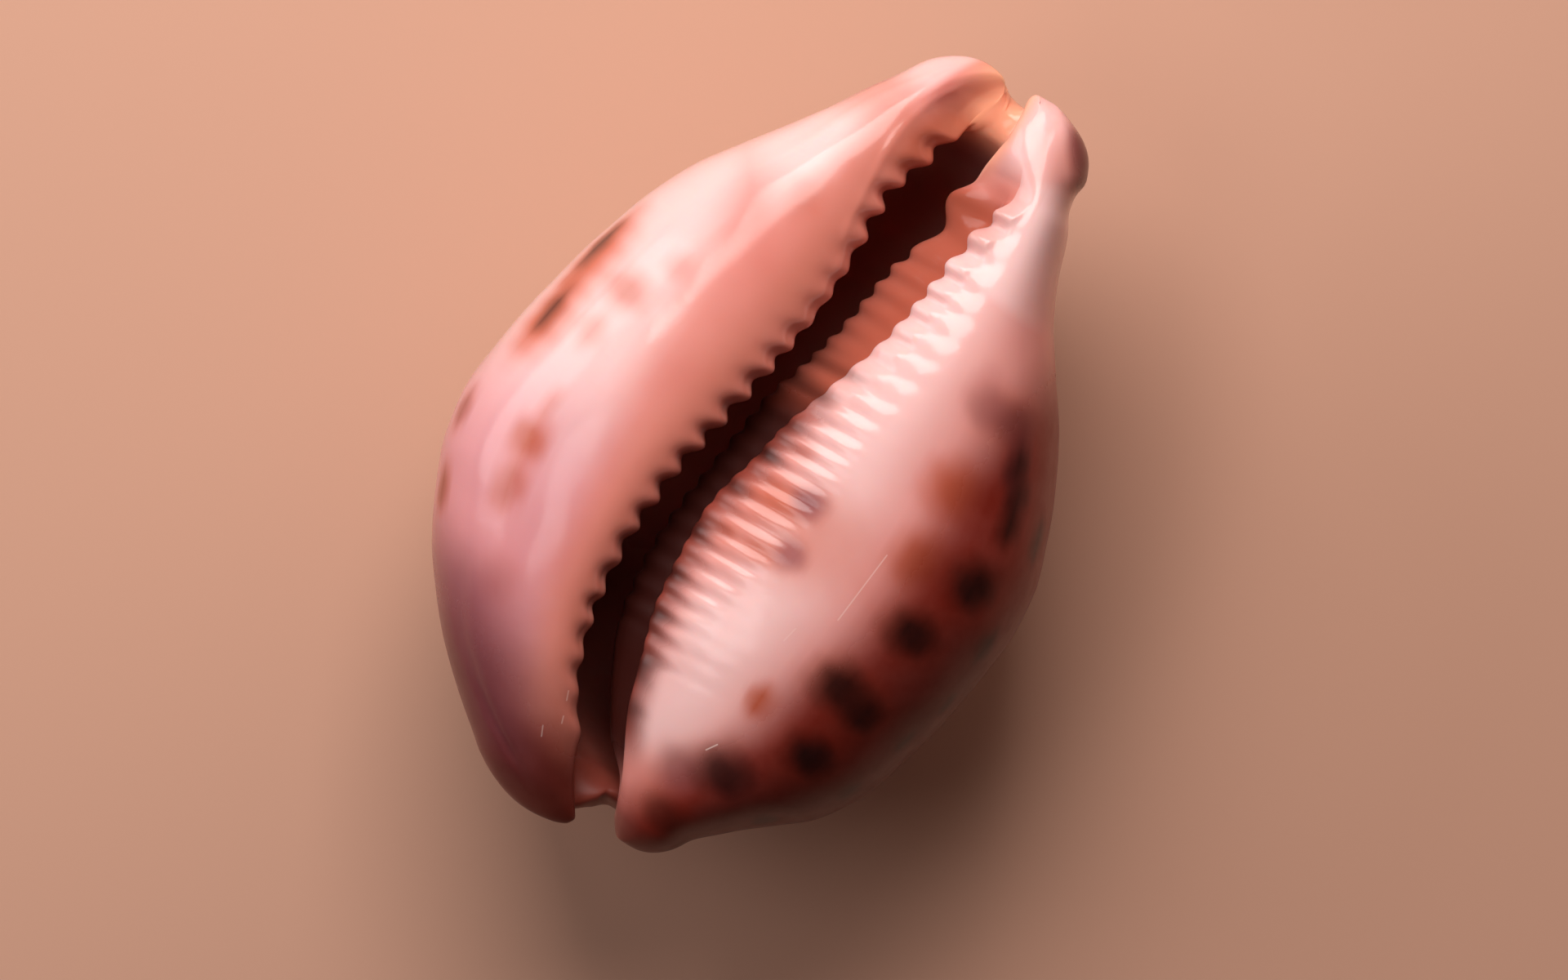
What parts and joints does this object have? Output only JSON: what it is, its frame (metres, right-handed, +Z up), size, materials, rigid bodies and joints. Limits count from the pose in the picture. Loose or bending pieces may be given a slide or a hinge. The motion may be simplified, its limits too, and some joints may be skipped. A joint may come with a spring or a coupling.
{
  "type": "cowrie shell",
  "caption": "Glossy domed sea shell with a long narrow toothed opening along its flatter side, a short canal at each end and a hollow body.",
  "frame": {"origin": "centre of the bounding box's underside, on the surface that the shell's back rests on", "axes": "+Z up, the way the opening faces; +Y along the shell to its narrow front end; +X to the ridged right lip"},
  "size_m": [0.0593, 0.0863, 0.0439],
  "materials": {
    "cowrie_glaze": "gloss"
  },
  "bodies": {
    "root": {"cowrie_shell": "cowrie_glaze"}
  },
  "joints": []
}
